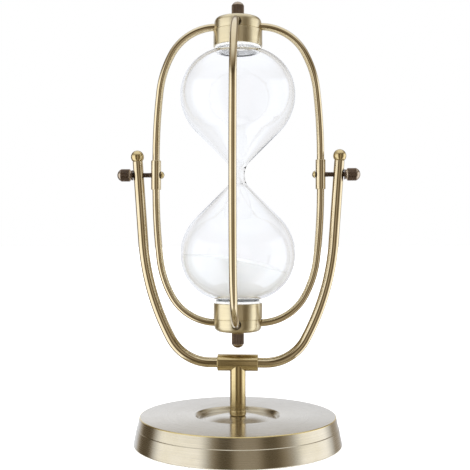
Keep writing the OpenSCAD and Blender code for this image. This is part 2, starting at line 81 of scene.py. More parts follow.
# Sizes that the frame's boxes don't give, as in the part's source
BASE_TOP_R = 66.5
CREASE_Z, CREASE_DEPTH = 11.4, 0.4
EDGE_R = 1.0
DISH_R, DISH_LIP, DISH_DEPTH = 29.5, 3.2, 2.9
MOUND_FLAT_R, MOUND_DROP = 7.5, 0.6
SHELL_WALL, HEM_W, BOLT_HOLE_R = 1.2, 2.4, 3.4
STEM_R, STEM_FOOT_STEP, STEM_BORE_R, STEM_BORE_DEPTH, FERRULE_PROUD = 5.4, 1.2, 3.05, 20, 0.25
SLEEVE_R, SLEEVE_LEN = 5.7, 27.6
YOKE_R = 3.5
YOKE_CORNER_R, YOKE_CORNER_TURN = 30.8, 62
YOKE_SIDE_R = 165
ARM_HALF_SPAN, ARM_LEAN, ARM_ABOVE_PIVOT = 68, 4, 9.5
FINIAL_R, FINIAL_SEAT = 4.5, 3.0
SCREW_R, SCREW_HEAD_R, SCREW_HEAD_H, SCREW_HEAD_GAP = 1.65, 2.65, 2.0, 0.3
SLOT_W, SLOT_LEN, SLOT_TURN = 0.8, 8, 60
SCREW_TIP_H, THREAD_RUN_OUT = 0.4, 0.3
THREAD_PITCH, THREAD_DEPTH = 0.6, 0.2
PIVOT_SLEEVE_R, PIVOT_SLEEVE_LEN = 3.4, 20
WASHER_R = 3.5
NUT_R, NUT_SHOULDER_H, NUT_KNURL_H, NUT_DOME_H = 4.25, 0.8, 6.2, 3.0
CAP_NUT_KNURL_H, CAP_NUT_GAP = 7.4, 0.1
NUT_RIDGES, NUT_RIDGE_DEPTH = 26, 0.3
NUT_SHOULDER_STEP, NUT_CHAMFER, KNURL_FADE = 0.95, 0.6, 0.5
CAGE_ROD_R = 2.5
ROD_TURNS = {"right": 0, "left": 180, "front": -90}
ROD_ENTRY = 100.5
ROD_SIDE_R, ROD_SIDE_TURN, ROD_SHOULDER_TURN = 400, 6.6, 22
CAP_R, CAP_WALL, SKIRT_H, CROWN_H, CROWN_R, CROWN_STEP = 16.7, 1.0, 10.7, 8.7, 3.6, 0.6
GROOVE_TO_ROD, GROOVE_W, GROOVE_DEPTH = 2.8, 0.5, 0.9
CAP_HOLE_R, HUB_R, STUD_R = 3.3, 13.0, 1.65
FIT = 0.05
BULB_R, NECK_R, NECK_FILLET, FLANK_RUN = 39, 4.6, 12.8, 28.7
SHOULDER_R, COLLAR_R, GLASS_WALL, THROAT_R = 30.8, 13, 1.6, 1.0
CUSHION_PROUD, CUSHION_FLOOR = 1.6, 0.8
STOPPER_H, SAND_GAP = 6, 0.15
SAND_RISE, SAND_SLOPE = 0.5, 21
SAND_SETTLED, RIPPLE_H, RIPPLE_LONG, RIPPLE_SHORT = 0.25, 0.22, 9, 3

# Heights from the pivot axis, worked out as the part's source does
GROOVE = ROD_ENTRY - GROOVE_TO_ROD
RIM = GROOVE - SKIRT_H
CROWN = GROOVE + CROWN_H
HUB_LOW = ROD_ENTRY - CAGE_ROD_R - 2
CUSHION_LOW = RIM - CUSHION_PROUD
GLASS_END = HUB_LOW - CUSHION_FLOOR - 0.1
COLLAR = CUSHION_LOW - 0.4


# ---------------------------------------------------------------- mesh building

def skin(name, rings, distances, ring_closed=False, sharp_deg=32):
    """Joins rings of points, in millimetres, into one closed surface with smooth shading. A ring of one
    point is a pole. ring_closed joins the last ring back to the first. The UV map "brush" holds the share
    of a turn around each ring, and the distance along the surface in metres."""
    bm = bmesh.new()
    uv = bm.loops.layers.uv.new("brush")
    rows = [[bm.verts.new(Vector(p) * MM) for p in ring] for ring in rings]
    pairs = [(i, i + 1) for i in range(len(rows) - 1)]
    if ring_closed:
        pairs.append((len(rows) - 1, 0))
    for i, j in pairs:
        a, b = rows[i], rows[j]
        va = distances[i] * MM
        vb = distances[j] * MM if j else distances[-1] * MM + (rows[-1][0].co - rows[0][0].co).length
        count = max(len(a), len(b))
        for k in range(count):
            n = (k + 1) % count
            u0, u1 = k / count, (k + 1) / count
            if len(a) == 1:
                corners = [(a[0], (u0 + u1) / 2, va), (b[n], u1, vb), (b[k], u0, vb)]
            elif len(b) == 1:
                corners = [(a[k], u0, va), (a[n], u1, va), (b[0], (u0 + u1) / 2, vb)]
            else:
                corners = [(a[k], u0, va), (a[n], u1, va), (b[n], u1, vb), (b[k], u0, vb)]
            face = bm.faces.new([c[0] for c in corners])
            face.smooth = True
            for loop, (_, u, v) in zip(face.loops, corners):
                loop[uv].uv = (u, v)
    bmesh.ops.recalc_face_normals(bm, faces=bm.faces)
    if bm.calc_volume(signed=True) < 0:
        bmesh.ops.reverse_faces(bm, faces=bm.faces)
    mesh = bpy.data.meshes.new(name)
    bm.to_mesh(mesh)
    bm.free()
    mesh.set_sharp_from_angle(angle=math.radians(sharp_deg))
    obj = bpy.data.objects.new(name, mesh)
    bpy.context.scene.collection.objects.link(obj)
    return obj


def running_length(points):
    total, out = 0.0, [0.0]
    for a, b in zip(points, points[1:]):
        total += (Vector(b) - Vector(a)).length
        out.append(total)
    return out


def rounded(corners, closed=False, steps=5):
    """A polyline through (r, z) or (r, z, fillet) corners, with each fillet drawn as an arc."""
    out, count = [], len(corners)
    for i, corner in enumerate(corners):
        p = Vector(corner[:2])
        fillet = corner[2] if len(corner) > 2 else 0
        if fillet == 0 or (not closed and i in (0, count - 1)):
            out.append(p)
            continue
        a = (Vector(corners[i - 1][:2]) - p).normalized()
        b = (Vector(corners[(i + 1) % count][:2]) - p).normalized()
        half = a.angle(b) / 2
        centre = p + (a + b).normalized() * (fillet / math.sin(half))
        start = p + a * (fillet / math.tan(half)) - centre
        turn = start.angle_signed(p + b * (fillet / math.tan(half)) - centre)
        for k in range(steps + 1):
            out.append(centre + Matrix.Rotation(-turn * k / steps, 2) @ start)
    return out


def lathe(name, profile, segments=128, closed=False, sharp_deg=32, bulge=None):
    """A surface of revolution about Z through (r, z) points. bulge(angle, r, z) adds to the radius."""
    rings = []
    for r, z in profile:
        if r < 1e-6:
            rings.append([(0, 0, z)])
            continue
        ring = []
        for k in range(segments):
            angle = 2 * math.pi * k / segments
            reach = r + (bulge(angle, r, z) if bulge else 0)
            ring.append((reach * math.cos(angle), reach * math.sin(angle), z))
        rings.append(ring)
    return skin(name, rings, running_length(profile), closed, sharp_deg)


def sweep(name, path, radius, segments=48, end_round=0.4):
    """A round rod along (x, z, heading) points in the XZ plane, with softly rounded ends."""
    stations = []
    for (x, z, heading), sign in ((path[0], -1), (path[-1], 1)):
        ends = []
        for k in range(4):
            angle = math.pi / 2 * k / 4
            back = end_round * (1 - math.cos(math.pi / 2 - angle))
            ends.append((x - sign * back * math.cos(heading), z - sign * back * math.sin(heading),
                         heading, radius - end_round * (1 - math.cos(angle))))
        ends = [(x, z, heading, 0)] + ends[::-1]
        stations.append(ends)
    stations = stations[0] + [(x, z, h, radius) for x, z, h in path[1:-1]] + stations[1][::-1]
    rings, centres = [], []
    for x, z, heading, r in stations:
        centre = Vector((x, 0, z))
        centres.append(centre)
        if r == 0:
            rings.append([centre])
            continue
        normal = Vector((-math.sin(heading), 0, math.cos(heading)))
        rings.append([centre + r * (math.cos(t) * normal + math.sin(t) * Vector((0, 1, 0)))
                      for t in (2 * math.pi * k / segments for k in range(segments))])
    return skin(name, rings, running_length(centres))


def walk(start, runs, step_deg=1.5):
    """Points (x, z, heading) along runs from a start. A run is (length, 0), or (bend radius, turn)."""
    x, z, heading = start
    path = [start]
    for size, turn_deg in runs:
        if turn_deg == 0:
            x, z = x + size * math.cos(heading), z + size * math.sin(heading)
            path.append((x, z, heading))
            continue
        turn = math.radians(turn_deg)
        steps = max(4, math.ceil(abs(turn_deg) / step_deg))
        for k in range(1, steps + 1):
            h = heading + turn * k / steps
            path.append((x + size * (math.sin(h) - math.sin(heading)),
                         z - size * (math.cos(h) - math.cos(heading)), h))
        x, z, heading = path[-1]
    return path


def place(obj, matrix):
    obj.data.transform(matrix)
    if matrix.determinant() < 0:
        obj.data.flip_normals()
    return obj


def at(x, y, z):
    return Matrix.Translation(Vector((x, y, z)) * MM)


def along_x(side):
    """Turns +Z into +X for side 1, and into -X for side -1."""
    return Matrix.Rotation(math.radians(90 * side), 4, "Y")


UPPER = at(0, 0, PIVOT_Z)
LOWER = UPPER @ Matrix.Diagonal((1, 1, -1, 1))


def cut(obj, cutters):
    """Takes the cutters' shapes out of obj."""
    for cutter in cutters:
        modifier = obj.modifiers.new("cut", "BOOLEAN")
        modifier.object = cutter
        modifier.operation = "DIFFERENCE"
        modifier.solver = "EXACT"
    bpy.context.view_layer.update()
    shaped = bpy.data.meshes.new_from_object(obj.evaluated_get(bpy.context.evaluated_depsgraph_get()))
    obj.modifiers.clear()
    obj.data = shaped
    shaped.set_sharp_from_angle(angle=math.radians(32))
    for cutter in cutters:
        bpy.data.objects.remove(cutter)
    return obj


def bar(radius, start, end, matrix, segments=64):
    """A plain round cutter from start to end along Z, then placed."""
    return place(lathe("cutter", [(0, start), (radius, start), (radius, end), (0, end)], segments), matrix)


# ---------------------------------------------------------------- materials

def srgb(r, g, b):
    """A colour given as 0-255 display values, as Blender's linear one."""
    linear = [c / 255 / 12.92 if c / 255 <= 0.04045 else ((c / 255 + 0.055) / 1.055) ** 2.4
              for c in (r, g, b)]
    return (*linear, 1)


class Nodes:
    """A material's node tree, with short ways to add nodes and links."""

    def __init__(self, name):
        self.material = bpy.data.materials.new(name)
        self.material.use_nodes = True
        self.tree = self.material.node_tree
        self.bsdf = self.tree.nodes["Principled BSDF"]

    def add(self, kind, inputs=None, **settings):
        node = self.tree.nodes.new("ShaderNode" + kind)
        for key, value in settings.items():
            setattr(node, key, value)
        for key, value in (inputs or {}).items():
            self.feed(node.inputs[key], value)
        return node

    def feed(self, socket, value):
        if isinstance(value, bpy.types.NodeSocket):
            self.tree.links.new(value, socket)
        else:
            socket.default_value = value

    def shader(self, **values):
        for key, value in values.items():
            self.feed(self.bsdf.inputs[key.replace("_", " ")], value)

    def math(self, operation, a, b=0.0):
        return self.add("Math", {0: a, 1: b}, operation=operation).outputs[0]

    def noise(self, vector, scale, detail=3.0, roughness=0.55):
        return self.add("TexNoise", {"Vector": vector, "Scale": scale, "Detail": detail,
                                     "Roughness": roughness}).outputs["Fac"]

    def mix(self, factor, a, b):
        node = self.add("Mix", data_type="RGBA")
        for socket, value in ((node.inputs["Factor"], factor), (node.inputs[6], a), (node.inputs[7], b)):
            self.feed(socket, value)
        return node.outputs[2]

    def spread(self, value, low, high):
        """Maps a 0.3 to 0.7 noise to a range."""
        return self.add("MapRange", {"Value": value, "From Min": 0.3, "From Max": 0.7, "To Min": low,
                                     "To Max": high}).outputs["Result"]

    def bump(self, height, strength, distance):
        node = self.add("Bump", {"Height": height, "Strength": strength, "Distance": distance})
        self.feed(self.bsdf.inputs["Normal"], node.outputs["Normal"])

    def object_place(self):
        return self.add("TexCoord").outputs["Object"]


def brushed_metal(name, colour, tarnish, roughness, line=0.35, arc=1.2, depth=0.6, lines_dark=0.12,
                  anisotropy=0.75):
    """Metal brushed around each turned or drawn piece. line is the mean spacing of the brush lines in mm,
    and arc how many times they change around a turn."""
    n = Nodes(name)
    place_uv = n.add("SeparateXYZ", {0: n.add("UVMap", uv_map="brush").outputs["UV"]})
    turn = n.math("MULTIPLY", place_uv.outputs["X"], 2 * math.pi)
    around = n.add("CombineXYZ", {
        "X": n.math("MULTIPLY", n.math("COSINE", turn), arc),
        "Y": n.math("MULTIPLY", n.math("SINE", turn), arc),
        "Z": n.math("MULTIPLY", place_uv.outputs["Y"], 1 / (line * MM))}).outputs[0]
    lines = n.noise(around, 1.0, 4.0, 0.65)
    clouds = n.noise(n.object_place(), 60.0, 3.0)
    base = n.mix(n.spread(clouds, 0.0, 1.0), colour, tarnish)
    base = n.mix(n.spread(lines, lines_dark, 0.0), base, srgb(70, 56, 34))
    n.shader(Base_Color=base, Metallic=1.0, Anisotropic=anisotropy, Anisotropic_Rotation=0.25,
             Roughness=n.spread(lines, roughness * 1.25, roughness * 0.8))
    tangent = n.add("Tangent", direction_type="UV_MAP", uv_map="brush")
    n.feed(n.bsdf.inputs["Tangent"], tangent.outputs["Tangent"])
    n.bsdf.inputs["Coat Weight"].default_value = 0.6
    n.bsdf.inputs["Coat Roughness"].default_value = 0.12
    n.bump(lines, depth, 0.02 * MM)
    return n.material


def cast_metal(name, colour, dark, roughness, scale):
    n = Nodes(name)
    where = n.object_place()
    grain = n.noise(where, scale, 6.0, 0.65)
    n.shader(Base_Color=n.mix(n.spread(grain, 0.0, 1.0), colour, dark), Metallic=1.0,
             Roughness=n.spread(grain, roughness * 0.8, roughness * 1.2))
    n.bump(n.noise(where, scale * 3, 4.0), 0.35, 0.05 * MM)
    return n.material


def clear_glass(name):
    n = Nodes(name)
    where = n.object_place()
    n.shader(Base_Color=n.mix(n.spread(n.noise(where, 40.0), 0.0, 1.0), srgb(252, 253, 254),
                              srgb(254, 254, 255)),
             Roughness=0.0, IOR=1.46)
    n.bsdf.inputs["Transmission Weight"].default_value = 1.0
    n.bump(n.noise(where, 28.0, 1.0), 0.05, 0.3 * MM)
    return n.material


def fine_sand(name):
    n = Nodes(name)
    where = n.object_place()
    grains = n.add("TexVoronoi", {"Vector": where, "Scale": 2600.0}).outputs["Distance"]
    patches = n.noise(where, 90.0, 4.0)
    colour = n.mix(n.spread(patches, 0.0, 1.0), srgb(250, 251, 251), srgb(244, 246, 247))
    colour = n.mix(n.math("MULTIPLY", grains, 0.1), colour, srgb(215, 220, 222))
    n.shader(Base_Color=colour, Roughness=0.9)
    n.bump(n.math("ADD", grains, n.noise(where, 700.0)), 0.3, 0.06 * MM)
    return n.material


def soft_rubber(name):
    n = Nodes(name)
    where = n.object_place()
    n.shader(Base_Color=n.mix(n.spread(n.noise(where, 120.0), 0.0, 1.0), srgb(247, 248, 248),
                              srgb(238, 240, 241)),
             Roughness=n.spread(n.noise(where, 300.0), 0.42, 0.6))
    n.bump(n.noise(where, 900.0), 0.3, 0.03 * MM)
    return n.material


def silicone(name):
    """White silicone. It glows a little, in place of the light that real silicone would pass."""
    n = Nodes(name)
    n.shader(Base_Color=n.mix(n.spread(n.noise(n.object_place(), 150.0), 0.0, 1.0), srgb(250, 250, 250),
                              srgb(242, 243, 244)), Roughness=0.4)
    n.bsdf.inputs["Emission Color"].default_value = (1, 1, 1, 1)
    n.bsdf.inputs["Emission Strength"].default_value = 0.4
    return n.material


def felt(name):
    n = Nodes(name)
    where = n.object_place()
    fibres = n.noise(where, 900.0, 6.0, 0.8)
    n.shader(Base_Color=n.mix(n.spread(fibres, 0.0, 1.0), srgb(44, 66, 52), srgb(70, 96, 78)),
             Roughness=n.spread(fibres, 0.85, 1.0))
    n.bsdf.inputs["Sheen Weight"].default_value = 0.4
    n.bump(fibres, 0.8, 0.2 * MM)
    return n.material


BRASS_LIGHT, BRASS_WORN = srgb(210, 194, 158), srgb(202, 184, 144)
GOLD_LIGHT, GOLD_WORN = srgb(206, 186, 136), srgb(198, 176, 122)
BRONZE_LIGHT, BRONZE_DARK = srgb(122, 100, 77), srgb(92, 73, 55)

brass = brushed_metal("brass_drawn", BRASS_LIGHT, BRASS_WORN, 0.11, depth=0.12, lines_dark=0.05)
brass_turned = brushed_metal("brass_turned", srgb(222, 208, 170), srgb(214, 199, 158), 0.36, line=0.28,
                             depth=0.3, lines_dark=0.1)
brass_golden = brushed_metal("brass_golden", GOLD_LIGHT, GOLD_WORN, 0.22, line=0.28, depth=0.2,
                             lines_dark=0.08)
brass_base = brushed_metal("brass_spun", srgb(196, 186, 163), srgb(188, 177, 150), 0.25, line=0.3,
                           depth=0.3, lines_dark=0.1)
# A brighter, more golden brass for the base's rounded top edge: a painted highlight along the rim.
brass_painted_glint = brushed_metal("brass_painted_glint", srgb(226, 206, 146), srgb(218, 196, 132), 0.3, depth=0.1,
                             lines_dark=0.05)
# The nuts' smooth shoulder and dome are a lighter bronze than the knurl: partly the knurl's patina, partly a
# painted highlight on the dome.
bronze = brushed_metal("bronze_smooth", srgb(188, 172, 148), srgb(160, 142, 120), 0.22, line=0.2)
bronze_knurled = brushed_metal("bronze_knurled", BRONZE_LIGHT, BRONZE_DARK, 0.34, line=0.25,
                               lines_dark=0.3, anisotropy=0.2)
bronze_dark = brushed_metal("bronze_dark", BRONZE_DARK, BRONZE_DARK, 0.3, line=0.25)
steel = cast_metal("steel_plated", srgb(180, 180, 178), srgb(150, 150, 150), 0.3, 200.0)
iron = cast_metal("iron_cast", srgb(78, 78, 80), srgb(52, 52, 55), 0.6, 260.0)
bronze_plain = cast_metal("bronze_plain", BRONZE_LIGHT, BRONZE_DARK, 0.34, 220.0)
glass_clear = clear_glass("glass_clear")
sand_white = fine_sand("sand_white")
rubber_white = soft_rubber("rubber_white")
silicone_white = silicone("silicone_white")
felt_green = felt("felt_green")

SLOT_OF = {m: slot for slot, mats in {
    "brass": (brass, brass_turned, brass_golden), "base_brass": (brass_base, brass_painted_glint),
    "bronze": (bronze, bronze_knurled, bronze_dark, bronze_plain), "steel": (steel,), "iron": (iron,),
    "felt": (felt_green,), "cushion": (rubber_white, silicone_white),
    "clear_glass": (glass_clear,), "sand": (sand_white,)}.items() for m in mats}


def stand_in(obj, node, *materials):
    """obj shows in the CAD node's place, with its own materials, and moves with the node's body."""
    for material in materials:
        obj.data.materials.append(material)
    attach(obj, BODY_OF[node])
    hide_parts(node)
    return obj


def refinish(node, material):
    """Gives a CAD node that shows its own shape a finished material."""
    slots = frame["nodes"][node].material_slots
    for slot in slots:
        slot.material = material


# ---------------------------------------------------------------- base and stem

def ease(share):
    return (1 - math.cos(math.pi * share)) / 2


def base_profile():
    """Outline of the spun shell, from the hem's outer foot up and over the top to the middle."""
    step_r = BASE_R - (BASE_R - BASE_TOP_R) * (CREASE_Z - HEM_Z) / (BASE_H - HEM_Z)
    side = rounded([
        (BASE_R - HEM_W, HEM_Z), (BASE_R, HEM_Z, 0.35), (step_r + CREASE_DEPTH / 2, CREASE_Z, 0.12),
        (step_r - CREASE_DEPTH / 2, CREASE_Z + CREASE_DEPTH, 0.12), (BASE_TOP_R, BASE_H, EDGE_R * 0.8),
        (DISH_R + 0.4, BASE_H)])
    valley_r = DISH_R - DISH_LIP
    mound_z, valley_z = BASE_H - MOUND_DROP, BASE_H - DISH_DEPTH
    lip = [Vector((DISH_R - DISH_LIP * k / 20, valley_z + DISH_DEPTH * (1 - ease(k / 20))))
           for k in range(21)]
    mound = [Vector((valley_r - (valley_r - MOUND_FLAT_R) * k / 32,
                     valley_z + (mound_z - valley_z) * ease(k / 32))) for k in range(1, 33)]
    inside = [Vector(p) for p in (
        (BOLT_HOLE_R, mound_z), (BOLT_HOLE_R, mound_z - SHELL_WALL), (MOUND_FLAT_R, mound_z - SHELL_WALL),
        (valley_r - 3, valley_z - SHELL_WALL), (valley_r, valley_z - SHELL_WALL),
        (DISH_R, BASE_H - SHELL_WALL), (BASE_TOP_R - 1.5 * SHELL_WALL, BASE_H - SHELL_WALL),
        (BASE_R - 1.2 * SHELL_WALL, HEM_Z + SHELL_WALL), (BASE_R - HEM_W, HEM_Z + SHELL_WALL))]
    return side + lip + mound + inside


shell = lathe("base_shell_spun", base_profile(), 256, closed=True)
# Faces on the rounded top edge take the golden brass, a painted highlight along the rim.
for face in shell.data.polygons:
    centre = face.center / MM
    painted_glint_face = centre.z > BASE_H - 1.3 * EDGE_R and abs(math.hypot(centre.x, centre.y) - BASE_TOP_R) < EDGE_R
    face.material_index = 1 if painted_glint_face else 0
stand_in(shell, "base_shell", brass_base, brass_painted_glint)

ferrule_r = STEM_R + FERRULE_PROUD
stem_foot_r = STEM_R - STEM_FOOT_STEP
ferrule = lathe("stem_ferrule_turned", rounded([
    (STEM_R - 1.1, FERRULE_LOW), (ferrule_r, FERRULE_LOW, 1.2), (ferrule_r, FERRULE_TOP, 0.25),
    (STEM_R - 1.1, FERRULE_TOP)], steps=8), 96, closed=True)
stand_in(ferrule, "stem_ferrule", brass_golden)

stem = lathe("stem_turned", rounded([
    (0, FERRULE_LOW), (stem_foot_r, FERRULE_LOW), (stem_foot_r, FERRULE_TOP), (STEM_R, FERRULE_TOP, 0.2),
    (STEM_R, SLEEVE_Z), (0, SLEEVE_Z)]), 96)
cut(stem, [bar(SLEEVE_R + FIT, -BASE_R, BASE_R, at(0, 0, SLEEVE_Z) @ along_x(1), 128),
           bar(STEM_BORE_R, FERRULE_LOW - 1, FERRULE_LOW + STEM_BORE_DEPTH, Matrix.Identity(4))])
stand_in(stem, "stem", brass_golden)


# ---------------------------------------------------------------- yoke

def ring_section(inner, outer, low, high, fillet):
    """Rounded section of a tube or washer for lathe(closed=True)."""
    return rounded([(inner, low, fillet / 2), (outer, low, fillet), (outer, high, fillet),
                    (inner, high, fillet / 2)], closed=True)


tee = lathe("yoke_sleeve_turned",
            ring_section(YOKE_R + FIT, SLEEVE_R, -SLEEVE_LEN / 2, SLEEVE_LEN / 2, 0.45), 96, closed=True)
stand_in(place(tee, at(0, 0, SLEEVE_Z) @ along_x(1)), "yoke_sleeve", brass_golden)

corner_turn, end_turn = math.radians(YOKE_CORNER_TURN), math.radians(90 - ARM_LEAN)
arm_run = (PIVOT_Z - SLEEVE_Z - YOKE_CORNER_R * (1 - math.cos(corner_turn))
           - YOKE_SIDE_R * (math.cos(corner_turn) - math.cos(end_turn))) / math.sin(end_turn)
yoke_foot = (ARM_HALF_SPAN - YOKE_CORNER_R * math.sin(corner_turn)
             - YOKE_SIDE_R * (math.sin(end_turn) - math.sin(corner_turn)) - arm_run * math.cos(end_turn))
arm_over_run = ARM_ABOVE_PIVOT / math.sin(end_turn)
right_half = walk((0, SLEEVE_Z, 0), [
    (yoke_foot, 0), (YOKE_CORNER_R, YOKE_CORNER_TURN), (YOKE_SIDE_R, 90 - ARM_LEAN - YOKE_CORNER_TURN),
    (arm_run + arm_over_run, 0)])
left_half = [(-x, z, -heading) for x, z, heading in right_half[:0:-1]]
yoke = sweep("yoke_bent", left_half + right_half, YOKE_R, 64)
cut(yoke, [bar(SCREW_R + FIT, ARM_HALF_SPAN - 2 * YOKE_R, ARM_HALF_SPAN + 2 * YOKE_R,
               at(0, 0, PIVOT_Z) @ along_x(side)) for side in (1, -1)])
stand_in(yoke, "yoke", brass)


def arm_end(side):
    """Frame at an arm's end, with +Z along the arm."""
    lean = Matrix.Rotation(math.radians(ARM_LEAN * side), 4, "Y")
    return at(side * ARM_HALF_SPAN, 0, PIVOT_Z) @ lean @ at(0, 0, arm_over_run)


def finial_profile():
    """A ball with a flat seat on the arm's end."""
    start = math.acos(FINIAL_SEAT / FINIAL_R)
    ball = [Vector((FINIAL_R * math.sin(start + (math.pi - start) * k / 40),
                    FINIAL_SEAT - FINIAL_R * math.cos(start + (math.pi - start) * k / 40)))
            for k in range(41)]
    ball[-1].x = 0
    return [Vector((0, 0.02))] + [Vector((ball[0].x - 0.15, 0.02))] + ball[1:]


# ---------------------------------------------------------------- pivots

HEAD_X = CAGE_HALF_SPAN - PIVOT_SLEEVE_R - SCREW_HEAD_GAP
SCREW_END_X = span("pivot_screw_right", X)[1]
WASHER_X = span("pivot_washer_right", X)
NUT_X = span("pivot_nut_right", X)[0]


def screw_profile():
    """A domed head from z = 0, then the shank. Also gives the heights between which it is threaded."""
    dome_r = (SCREW_HEAD_H ** 2 + SCREW_HEAD_R ** 2) / (2 * SCREW_HEAD_H)
    dome = []
    for k in range(13):
        angle = math.asin(SCREW_HEAD_R / dome_r) * k / 12
        dome.append(Vector((dome_r * math.sin(angle), dome_r * (1 - math.cos(angle)))))
    length = SCREW_END_X - HEAD_X + SCREW_HEAD_H
    plain = 2 * PIVOT_SLEEVE_R + 1.2
    shank = [Vector((SCREW_R, SCREW_HEAD_H)), Vector((SCREW_R, SCREW_HEAD_H + plain))]
    steps = round((length - SCREW_HEAD_H - plain - SCREW_TIP_H) / (THREAD_PITCH / 10))
    first = SCREW_HEAD_H + plain
    shank += [Vector((SCREW_R, first + (length - SCREW_TIP_H - first) * k / steps))
              for k in range(1, steps + 1)]
    return dome + shank + [Vector((SCREW_R - SCREW_TIP_H, length)), Vector((0, length))], first, length


def thread(first, length):
    """Cuts a screw thread into the shank between two heights."""
    def depth(angle, r, z):
        if not first < z < length - THREAD_RUN_OUT:
            return 0
        turn = (z / THREAD_PITCH - angle / (2 * math.pi)) % 1
        groove = 1 - abs(2 * turn - 1)
        run_in = min(1, (z - first) / THREAD_PITCH, (length - THREAD_RUN_OUT - z) / THREAD_PITCH)
        return -THREAD_DEPTH * run_in * min(1, max(0, 1.6 * groove - 0.3))
    return depth


def nut_profile(knurl_h):
    """A nut with a plain shoulder, a knurled band and a domed end, standing on z = 0, with its blind bore."""
    top = NUT_SHOULDER_H + knurl_h
    shoulder_r = NUT_R - NUT_SHOULDER_STEP
    tip_r = (NUT_DOME_H ** 2 + NUT_R ** 2) / (2 * NUT_DOME_H)
    body = rounded([
        (SCREW_R + FIT, 0.3), (SCREW_R + FIT + 0.3, 0), (shoulder_r, 0, 0.2),
        (shoulder_r, NUT_SHOULDER_H, 0.1),
        (NUT_R - NUT_CHAMFER, NUT_SHOULDER_H, 0.1), (NUT_R, NUT_SHOULDER_H + NUT_CHAMFER)])
    band = [Vector((NUT_R, NUT_SHOULDER_H + NUT_CHAMFER + (knurl_h - NUT_CHAMFER) * k / 24))
            for k in range(1, 25)]
    reach = math.asin(NUT_R / tip_r)
    dome = [Vector((tip_r * math.sin(reach * (1 - k / 20)),
                    top + NUT_DOME_H - tip_r + tip_r * math.cos(reach * (1 - k / 20))))
            for k in range(1, 21)]
    return [Vector((0, top)), Vector((SCREW_R + FIT, top))] + body + band + dome


def knurl(knurl_h):
    """Depth of a straight knurl, fading out at both ends of its band."""
    low, high = NUT_SHOULDER_H + 0.2, NUT_SHOULDER_H + knurl_h + KNURL_FADE

    def depth(angle, r, z):
        if r < NUT_R - 0.7:
            return 0
        fade = min(1, max(0, (z - low) / KNURL_FADE), max(0, (high - z) / KNURL_FADE))
        crest = abs(math.cos(NUT_RIDGES * angle / 2))
        return -NUT_RIDGE_DEPTH * fade * (1 - crest ** 0.8) * 1.15
    return depth


def knurled_nut(name, knurl_h):
    nut = lathe(name, nut_profile(knurl_h), NUT_RIDGES * 10, sharp_deg=50, bulge=knurl(knurl_h))
    low, high = (NUT_SHOULDER_H + 0.4) * MM, (NUT_SHOULDER_H + knurl_h + 0.3) * MM
    # Knurled faces take the darker bronze, and the shoulder and dome the lighter one, which is partly a
    # painted highlight on the dome.
    for face in nut.data.polygons:
        centre = face.center
        on_knurl = low < centre.z < high and math.hypot(centre.x, centre.y) > (NUT_R - 0.8) * MM
        face.material_index = 1 if on_knurl else 0
    return nut


for side, word in ((1, "right"), (-1, "left")):
    finial = place(lathe("finial_ball_" + word, finial_profile(), 96), arm_end(side))
    stand_in(finial, "finial_" + word, brass_golden)

    profile, first, length = screw_profile()
    screw = lathe("pivot_screw_threaded_" + word, profile, 48, bulge=thread(first, length))
    slot = bmesh.new()
    bmesh.ops.create_cube(slot, size=1)
    slot_mesh = bpy.data.meshes.new("slot")
    slot.to_mesh(slot_mesh)
    slot.free()
    slot_mesh.transform(Matrix.Diagonal((SLOT_W * MM, SLOT_LEN * MM, SCREW_HEAD_H * MM, 1)))
    slot_cutter = bpy.data.objects.new("slot", slot_mesh)
    bpy.context.scene.collection.objects.link(slot_cutter)
    cut(screw, [slot_cutter])
    place(screw, at(side * (HEAD_X - SCREW_HEAD_H), 0, PIVOT_Z) @ along_x(side)
          @ Matrix.Rotation(math.radians(SLOT_TURN), 4, "Z"))
    for face in screw.data.polygons:
        face.material_index = 1 if side * face.center.x / MM < HEAD_X else 0
    stand_in(screw, "pivot_screw_" + word, bronze_dark, brass_golden)

    washer = lathe("pivot_washer_turned_" + word,
                   ring_section(SCREW_R + FIT, WASHER_R, 0, WASHER_X[1] - WASHER_X[0], 0.2), 96, closed=True)
    place(washer, at(side * WASHER_X[0], 0, PIVOT_Z) @ along_x(side))
    stand_in(washer, "pivot_washer_" + word, bronze_dark)

    nut = place(knurled_nut("pivot_nut_knurled_" + word, NUT_KNURL_H),
                at(side * NUT_X, 0, PIVOT_Z) @ along_x(side))
    stand_in(nut, "pivot_nut_" + word, bronze, bronze_knurled)

    tube = lathe("pivot_sleeve_turned_" + word,
                 ring_section(CAGE_ROD_R + FIT, PIVOT_SLEEVE_R, -PIVOT_SLEEVE_LEN / 2,
                              PIVOT_SLEEVE_LEN / 2, 0.3), 96, closed=True)
    place(tube, at(side * CAGE_HALF_SPAN, 0, PIVOT_Z))
    cut(tube, [bar(SCREW_R + FIT, CAGE_HALF_SPAN - 8, CAGE_HALF_SPAN + 8,
                   at(0, 0, PIVOT_Z) @ along_x(side))])
    stand_in(tube, "pivot_sleeve_" + word, brass)


# ---------------------------------------------------------------- cage rods

